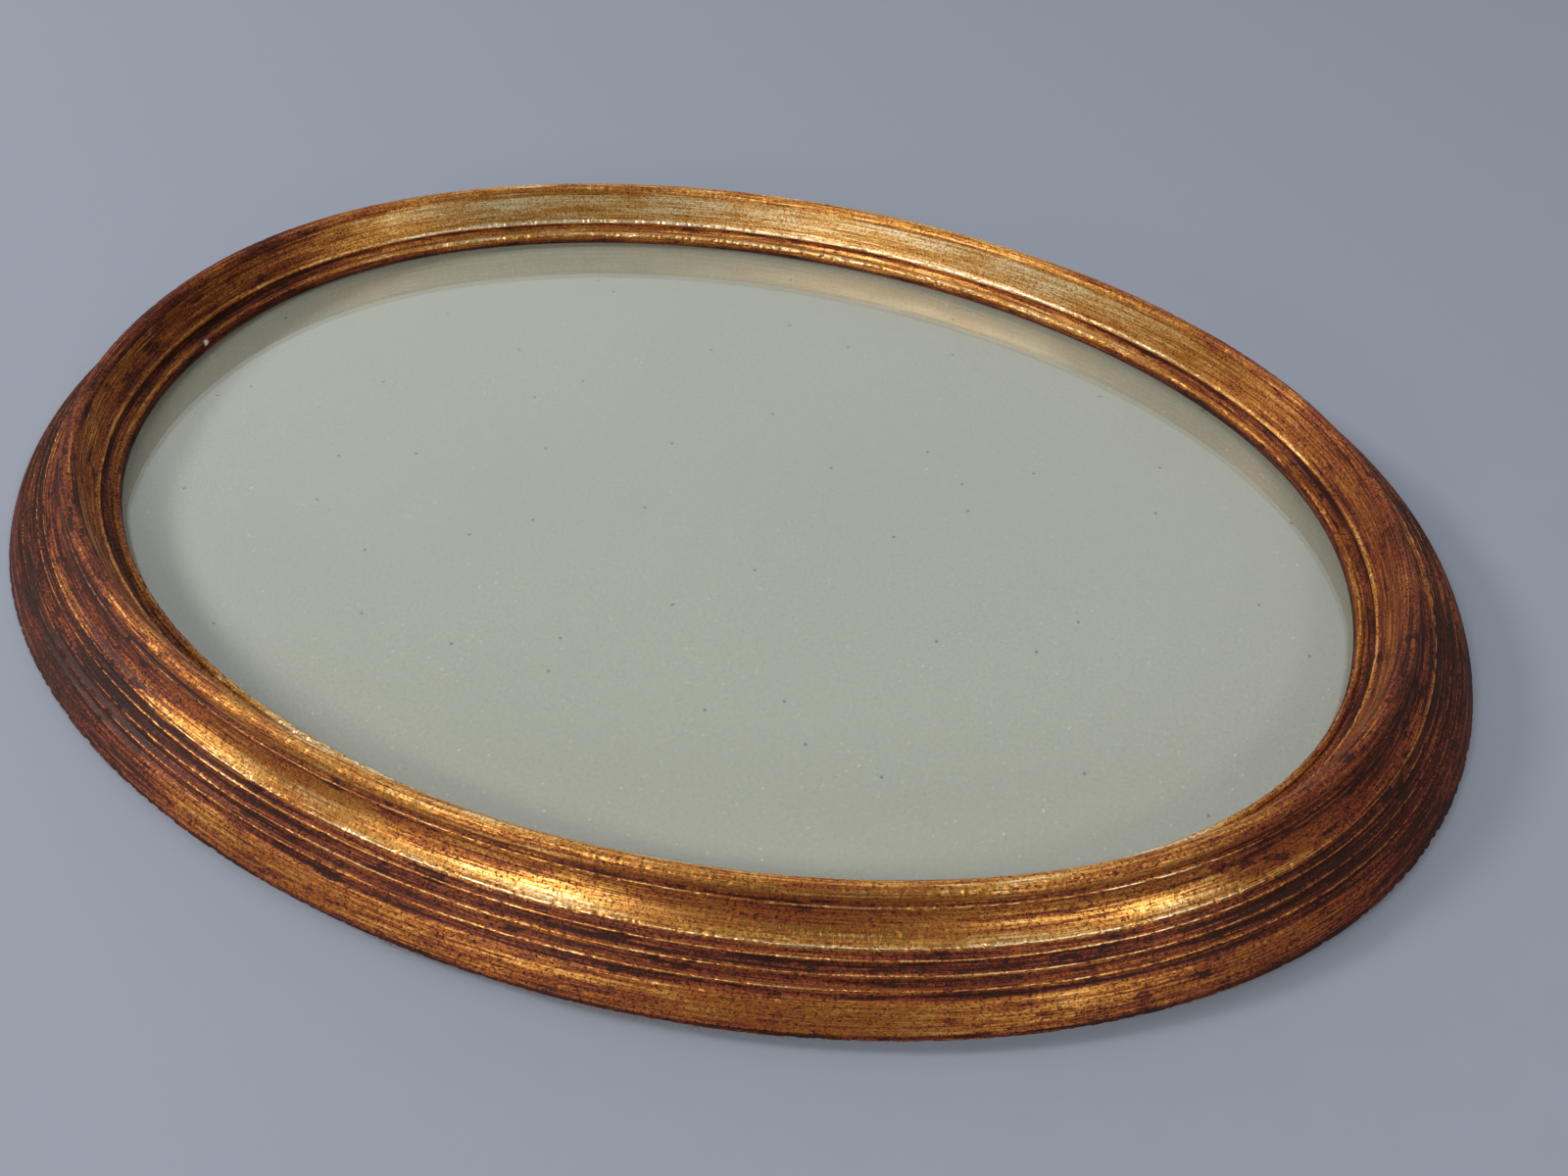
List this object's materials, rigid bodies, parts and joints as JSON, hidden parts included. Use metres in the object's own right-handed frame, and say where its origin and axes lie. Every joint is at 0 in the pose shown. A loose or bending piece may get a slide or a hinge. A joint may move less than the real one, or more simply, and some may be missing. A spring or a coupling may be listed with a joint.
{
  "type": "oval picture frame",
  "caption": "Oval gilt wood picture frame with a stepped, coved and beaded moulding, glass, blank card, backing board, paper dust cover and a ring hanger let into the back.",
  "frame": {"origin": "centre of the oval on the back, where the frame lies or meets the wall", "axes": "+X along the long way of the oval, +Y towards the side with the hanger, +Z out of the face"},
  "size_m": [0.414, 0.3, 0.0238],
  "materials": {
    "gilding": "worn and crackled gold leaf over dark red bole and gesso on wood, satin to shiny",
    "tongue_wood": "plain sawn hardwood",
    "pane": "clear polished glass",
    "card": "blank pale card, matt, lightly flecked",
    "board": "grey brown pulp board, matt",
    "sprig_steel": "dull cut steel",
    "kraft_paper": "aged brown paper, matt",
    "hanger_brass": "tarnished brass"
  },
  "bodies": {
    "frame": {"moulding_upper_right": "gilding", "moulding_top": "gilding", "moulding_upper_left": "gilding", "moulding_lower_left": "gilding", "moulding_bottom": "gilding", "moulding_lower_right": "gilding", "joint_tongues": "tongue_wood", "glass": "pane", "card": "card", "backing_board": "board", "glazing_sprigs": "sprig_steel", "dust_cover": "kraft_paper", "hanger_strap": "hanger_brass", "hanger_screw": "hanger_brass"},
    "ring": {"hanger_ring": "hanger_brass"}
  },
  "joints": [
    {"name": "ring_swing", "type": "hinge", "parent": "frame", "child": "ring", "pos_m": [0, 0.1346, 0.0039], "axis": [-1, 0, 0], "range_deg": [0, 160]}
  ]
}
